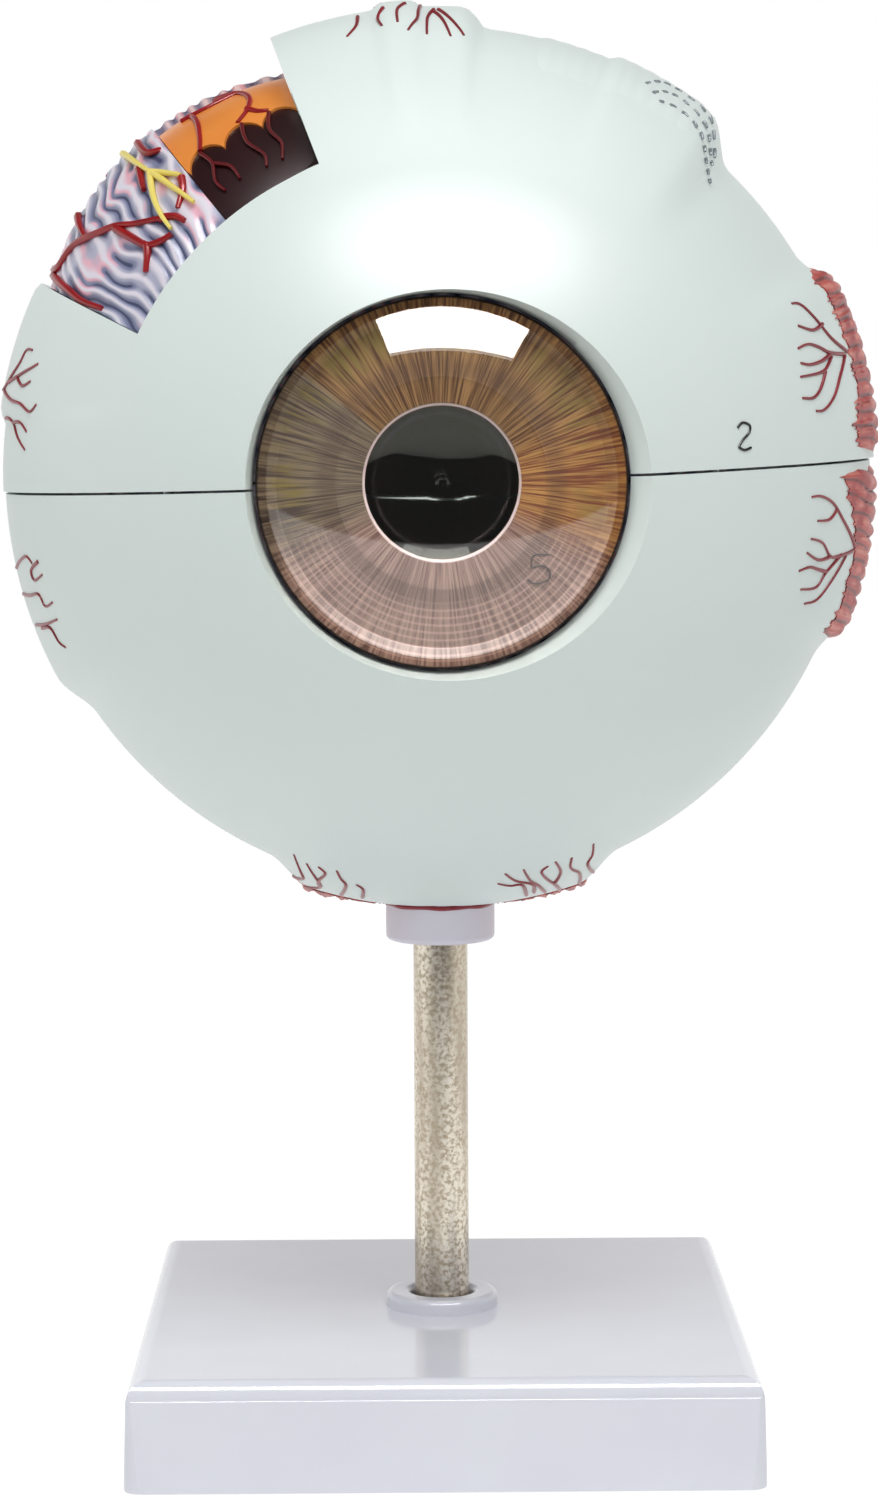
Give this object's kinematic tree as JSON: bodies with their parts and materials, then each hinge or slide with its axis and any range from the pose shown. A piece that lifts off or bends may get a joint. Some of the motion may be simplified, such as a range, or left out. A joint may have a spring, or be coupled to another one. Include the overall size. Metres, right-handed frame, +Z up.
{
  "type": "eye anatomy model",
  "caption": "Enlarged eyeball on a post and square base, opening at its equator, with a window, lift-out coats, vitreous body, lens, iris and cornea.",
  "frame": {"origin": "middle of the base's underside, on the axis of the post", "axes": "+Z up along the post, -Y the way the eye looks, +X its temple side"},
  "size_m": [0.1536, 0.1694, 0.2439],
  "materials": {
    "base_abs": "glossy moulded, faint lilac white",
    "ring_abs": "glossy moulded",
    "post_steel": "nickel plated, speckled",
    "screw_steel": "zinc plated",
    "collar_abs": "moulded, lilac white",
    "sclera_paint": "eggshell paint, faint mint white",
    "muscle_paint": "hand painted, ridged",
    "tendon_paint": "eggshell paint",
    "nerve_sheath_paint": "satin paint",
    "nerve_paint": "satin paint",
    "artery_paint": "gloss paint",
    "vein_paint": "gloss paint",
    "choroid_paint": "painted vessels on pink, glossy",
    "retina_paint": "painted vessels on orange, glossy",
    "ciliary_paint": "dark maroon, glossy",
    "clear_acrylic": "clear, polished",
    "lens_acrylic": "clear, polished",
    "cornea_acrylic": "clear, polished",
    "iris_print": "brown radial fibres, satin"
  },
  "bodies": {
    "stand": {"base_shell": "base_abs", "foot_ring": "ring_abs", "post": "post_steel", "post_screw": "screw_steel", "post_washer": "screw_steel"},
    "lower_half": {"collar": "collar_abs", "sclera_lower": "sclera_paint", "seam_pins": "screw_steel", "lateral_rectus_lower": "muscle_paint", "medial_rectus_lower": "muscle_paint", "inferior_rectus": "muscle_paint", "inferior_oblique": "muscle_paint", "nerve_sheath": "nerve_sheath_paint", "optic_nerve": "nerve_paint", "central_artery": "artery_paint", "central_vein": "vein_paint"},
    "upper_half": {"sclera_upper": "sclera_paint", "superior_rectus": "muscle_paint", "superior_oblique": "tendon_paint", "lateral_rectus_upper": "muscle_paint", "medial_rectus_upper": "muscle_paint"},
    "lower_lining": {"choroid_lower": "choroid_paint", "retina_lower": "retina_paint", "ciliary_lower": "ciliary_paint", "ciliary_skirt_lower": "ciliary_paint"},
    "upper_lining": {"choroid_upper": "choroid_paint", "retina_upper": "retina_paint", "ciliary_upper": "ciliary_paint", "ciliary_skirt_upper": "ciliary_paint"},
    "vitreous": {"vitreous_bowl": "clear_acrylic", "vitreous_face": "clear_acrylic"},
    "lens": {"lens": "lens_acrylic"},
    "cornea": {"cornea": "cornea_acrylic", "iris": "iris_print"}
  },
  "joints": [
    {"name": "eye_swivel", "type": "hinge", "parent": "stand", "child": "lower_half", "pos_m": [0, 0, 0.088], "axis": [0, 0, 1], "continuous": true},
    {"name": "upper_half_lift", "type": "slide", "parent": "lower_half", "child": "upper_half", "axis": [0, 0, 1], "range_m": [0, 0.28]},
    {"name": "upper_lining_lift", "type": "slide", "parent": "lower_half", "child": "upper_lining", "axis": [0, 0, 1], "range_m": [0, 0.21]},
    {"name": "vitreous_lift", "type": "slide", "parent": "lower_half", "child": "vitreous", "axis": [0, 0, 1], "range_m": [0, 0.14]},
    {"name": "lower_lining_lift", "type": "slide", "parent": "lower_half", "child": "lower_lining", "axis": [0, 0, 1], "range_m": [0, 0.07]},
    {"name": "cornea_pull", "type": "slide", "parent": "lower_half", "child": "cornea", "axis": [0, -1, 0], "range_m": [0, 0.09]},
    {"name": "lens_pull", "type": "slide", "parent": "vitreous", "child": "lens", "axis": [0, -1, 0], "range_m": [0, 0.045]}
  ],
  "couplings": [
    {"joint": "upper_lining_lift", "follows": "upper_half_lift", "ratio": 0.75},
    {"joint": "vitreous_lift", "follows": "upper_half_lift", "ratio": 0.5},
    {"joint": "lower_lining_lift", "follows": "upper_half_lift", "ratio": 0.25},
    {"joint": "lens_pull", "follows": "cornea_pull", "ratio": 0.5}
  ]
}
